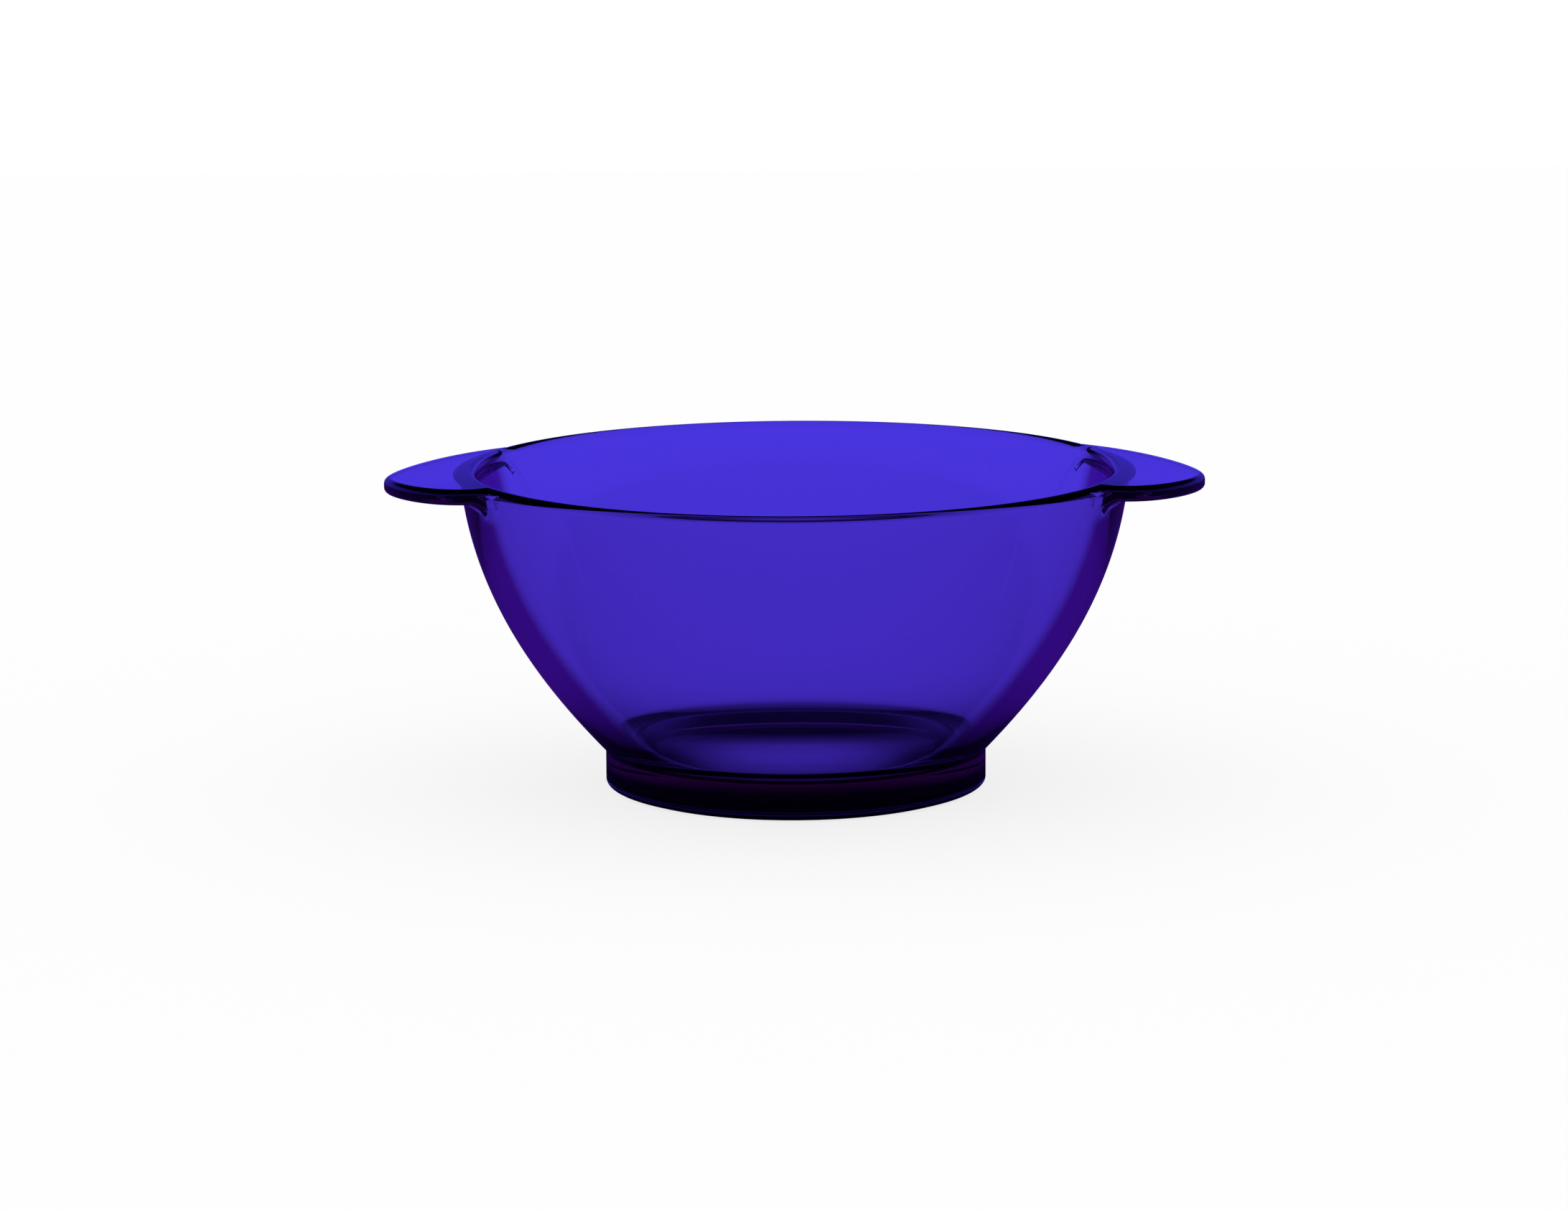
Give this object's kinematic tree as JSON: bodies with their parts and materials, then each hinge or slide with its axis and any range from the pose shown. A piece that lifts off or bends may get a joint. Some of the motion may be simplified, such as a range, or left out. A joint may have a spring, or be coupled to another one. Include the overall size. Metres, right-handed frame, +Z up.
{
  "type": "hair color bowl",
  "caption": "Round glass mixing bowl with two flat lug handles that leave the rim level with it, and a low foot fitted with a rubber non-slip ring, for mixing and holding hair colour.",
  "frame": {"origin": "centre of the surface that the rubber ring stands on", "axes": "+Z up along the bowl's axis, +X along the line through the two handles"},
  "size_m": [0.1636, 0.133, 0.0644],
  "materials": {
    "violet_glass": "clear polished, coloured in the melt",
    "black_rubber": "matte"
  },
  "bodies": {
    "root": {"glass_bowl": "violet_glass", "non_slip_ring": "black_rubber"}
  },
  "joints": []
}
